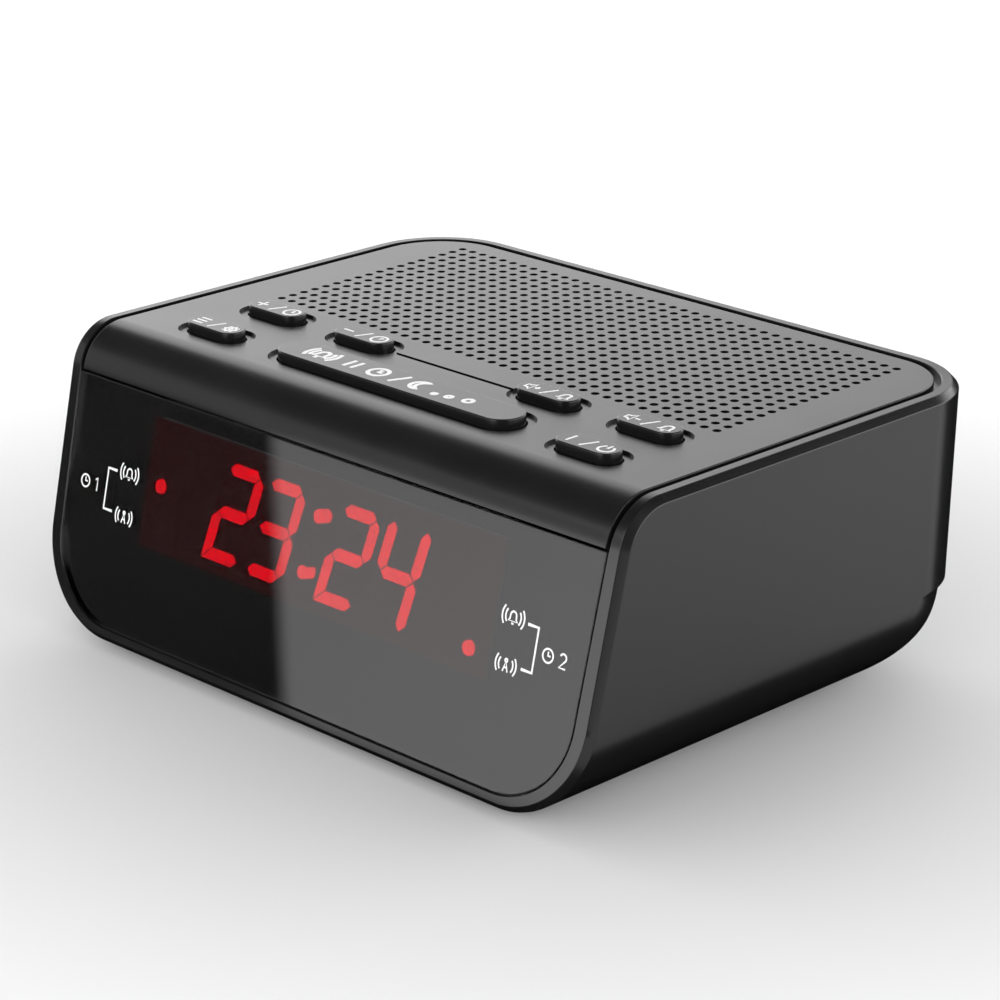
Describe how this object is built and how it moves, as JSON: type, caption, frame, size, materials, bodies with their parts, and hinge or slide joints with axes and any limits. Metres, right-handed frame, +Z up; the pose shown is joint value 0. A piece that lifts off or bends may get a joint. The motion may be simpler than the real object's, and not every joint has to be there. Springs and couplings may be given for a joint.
{
  "type": "clock radio",
  "caption": "Compact wedge-fronted clock radio: satin case, perforated speaker top with raised keys, glossy sloping display lens, backup battery door underneath.",
  "frame": {"origin": "on the table under the middle of the case, at the undersides of the feet", "axes": "+Z up, +X along the case to the right as the display is read, -Y towards the reader"},
  "size_m": [0.1354, 0.1028, 0.0553],
  "materials": {
    "case_plastic": "satin black ABS",
    "lens_acrylic": "polished smoked acrylic",
    "key_plastic": "satin black ABS",
    "red_filter": "dark red film",
    "led_diffuser": "lit red light guide",
    "board_laminate": "green solder mask",
    "black_nylon": "moulded black nylon",
    "steel": "zinc plated",
    "nickel": "nickel plated spring steel",
    "rubber": "matte",
    "speaker_paper": "treated paper",
    "ferrite": "sintered ferrite",
    "copper_wire": "enamelled copper wire",
    "cell_sleeve": "printed sleeve",
    "lead_sleeve": "PVC sleeve",
    "ribbon": "flat flexible cable"
  },
  "bodies": {
    "case": {"aerial_coil": "copper_wire", "aerial_grommet": "rubber", "aerial_lead": "lead_sleeve", "alarm_dot_left": "led_diffuser", "alarm_dot_right": "led_diffuser", "case_screw_front_left": "steel", "case_screw_front_right": "steel", "case_screw_rear_left": "steel", "case_screw_rear_right": "steel", "case_tub": "case_plastic", "cell_1": "cell_sleeve", "cell_2": "cell_sleeve", "cell_contact_left": "nickel", "cell_contact_right": "nickel", "colon_guide": "led_diffuser", "dc_jack": "black_nylon", "digit_1": "led_diffuser", "digit_2": "led_diffuser", "digit_3": "led_diffuser", "digit_4": "led_diffuser", "display_board": "board_laminate", "display_filter": "red_filter", "display_housing": "black_nylon", "display_ribbon": "ribbon", "ferrite_rod": "ferrite", "ferrite_saddle": "black_nylon", "foot_front_left": "rubber", "foot_front_right": "rubber", "foot_rear_left": "rubber", "foot_rear_right": "rubber", "front_lens": "lens_acrylic", "key_board": "board_laminate", "key_board_screw_left": "steel", "key_board_screw_right": "steel", "key_ribbon": "ribbon", "main_board": "board_laminate", "radio_chip": "black_nylon", "speaker_cone": "speaker_paper", "speaker_frame": "steel", "speaker_gasket": "rubber", "speaker_lead": "lead_sleeve", "speaker_magnet": "ferrite", "speaker_screw_left": "steel", "speaker_screw_right": "steel", "switch_hour": "black_nylon", "switch_minute": "black_nylon", "switch_mode": "black_nylon", "switch_power": "black_nylon", "switch_snooze": "black_nylon", "switch_volume_down": "black_nylon", "switch_volume_up": "black_nylon", "top_cover": "case_plastic"},
    "door": {"battery_door": "case_plastic"},
    "key_hour": {"button_hour": "key_plastic"},
    "key_minute": {"button_minute": "key_plastic"},
    "key_mode": {"button_mode": "key_plastic"},
    "key_power": {"button_power": "key_plastic"},
    "key_snooze": {"button_snooze": "key_plastic"},
    "key_volume_down": {"button_volume_down": "key_plastic"},
    "key_volume_up": {"button_volume_up": "key_plastic"}
  },
  "joints": [
    {"name": "press_hour", "type": "slide", "parent": "case", "child": "key_hour", "axis": [0, 0, -1], "range_m": [0, 0.0008], "stiffness_N_per_m": 800},
    {"name": "press_minute", "type": "slide", "parent": "case", "child": "key_minute", "axis": [0, 0, -1], "range_m": [0, 0.0008], "stiffness_N_per_m": 800},
    {"name": "press_mode", "type": "slide", "parent": "case", "child": "key_mode", "axis": [0, 0, -1], "range_m": [0, 0.0008], "stiffness_N_per_m": 800},
    {"name": "press_power", "type": "slide", "parent": "case", "child": "key_power", "axis": [0, 0, -1], "range_m": [0, 0.0008], "stiffness_N_per_m": 800},
    {"name": "press_snooze", "type": "slide", "parent": "case", "child": "key_snooze", "axis": [0, 0, -1], "range_m": [0, 0.0008], "stiffness_N_per_m": 1200},
    {"name": "press_volume_down", "type": "slide", "parent": "case", "child": "key_volume_down", "axis": [0, 0, -1], "range_m": [0, 0.0008], "stiffness_N_per_m": 800},
    {"name": "press_volume_up", "type": "slide", "parent": "case", "child": "key_volume_up", "axis": [0, 0, -1], "range_m": [0, 0.0008], "stiffness_N_per_m": 800},
    {"name": "door_slide", "type": "slide", "parent": "case", "child": "door", "axis": [0, 1, 0], "range_m": [0, 0.045]}
  ]
}
